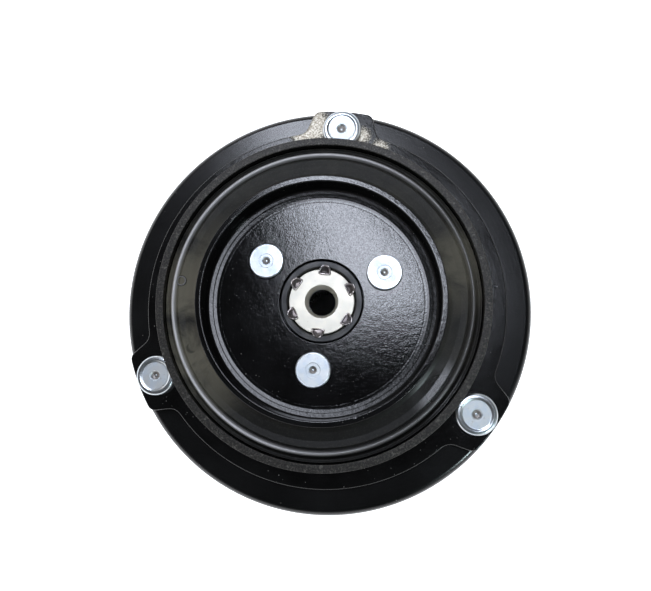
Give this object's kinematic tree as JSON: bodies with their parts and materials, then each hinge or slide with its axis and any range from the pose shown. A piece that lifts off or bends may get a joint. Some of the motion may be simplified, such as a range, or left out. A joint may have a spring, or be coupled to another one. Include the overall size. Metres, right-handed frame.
{
  "type": "electromagnetic clutch",
  "caption": "Compressor magnet clutch: grooved belt pulley on a ball bearing, coil behind it, and a rubber-damped hub with a riveted armature plate in front.",
  "frame": {"origin": "on the axis, in the plane of the coil mounting plate's rear face", "axes": "+Z along the axis towards the hub's face; +X and +Y across it, the first outer rivet 84 degrees from +X towards +Y"},
  "size_m": [0.12, 0.12, 0.0482],
  "materials": {
    "black_coat": "glossy black coat with a light orange peel",
    "black_satin": "satin black coat",
    "zinc": "bright zinc plate",
    "dark_steel": "dark phosphated steel",
    "bare_steel": "machined steel",
    "bearing_steel": "ground bearing steel",
    "rubber": "matte black moulded rubber",
    "nylon": "moulded nylon",
    "copper": "enamelled copper winding",
    "epoxy": "potting resin"
  },
  "bodies": {
    "fixed_coil": {"coil_plate": "black_satin", "coil_housing": "black_satin", "coil_bobbin": "nylon", "coil_winding": "copper", "coil_potting": "epoxy", "coil_circlip": "dark_steel", "lead_grommet": "rubber", "bearing_inner_race": "bearing_steel", "nose_circlip": "dark_steel"},
    "pulley": {"pulley_rim": "black_satin", "rotor": "bare_steel", "bearing_outer_race": "bearing_steel", "bearing_seal_front": "rubber", "bearing_seal_rear": "rubber", "bearing_snap_ring": "dark_steel"},
    "balls": {"ball_cage_rear": "bearing_steel", "ball_cage_front": "bearing_steel"},
    "hub_unit": {"damper_cup": "black_coat", "hub": "dark_steel", "hub_disc": "zinc", "inner_rivet_1": "zinc", "inner_rivet_2": "zinc", "inner_rivet_3": "zinc", "adjusting_shim_thick": "bare_steel", "adjusting_shim_thin": "bare_steel"},
    "rubber": {"rubber_damper": "rubber"},
    "armature": {"armature_plate": "black_satin", "outer_ring": "black_coat", "outer_rivet_1": "zinc", "outer_rivet_2": "zinc", "outer_rivet_3": "zinc"}
  },
  "joints": [
    {"name": "pulley_spin", "type": "hinge", "parent": "fixed_coil", "child": "pulley", "pos_m": [0, 0, 0.016], "axis": [0, 0, 1], "continuous": true},
    {"name": "ball_spin", "type": "hinge", "parent": "fixed_coil", "child": "balls", "pos_m": [0, 0, 0.016], "axis": [0, 0, 1], "continuous": true},
    {"name": "hub_spin", "type": "hinge", "parent": "fixed_coil", "child": "hub_unit", "pos_m": [0, 0, 0.036], "axis": [0, 0, 1], "continuous": true},
    {"name": "armature_pull", "type": "slide", "parent": "hub_unit", "child": "rubber", "axis": [0, 0, -1], "range_m": [0, 0.0005], "stiffness_N_per_m": 200000, "deforming": ["rubber_damper"]},
    {"name": "damper_twist", "type": "hinge", "parent": "rubber", "child": "armature", "pos_m": [0, 0, 0.036], "axis": [0, 0, 1], "range_deg": [-3, 3], "stiffness_Nm_per_rad": 300}
  ],
  "couplings": [
    {"joint": "ball_spin", "follows": "pulley_spin", "ratio": 0.554}
  ]
}
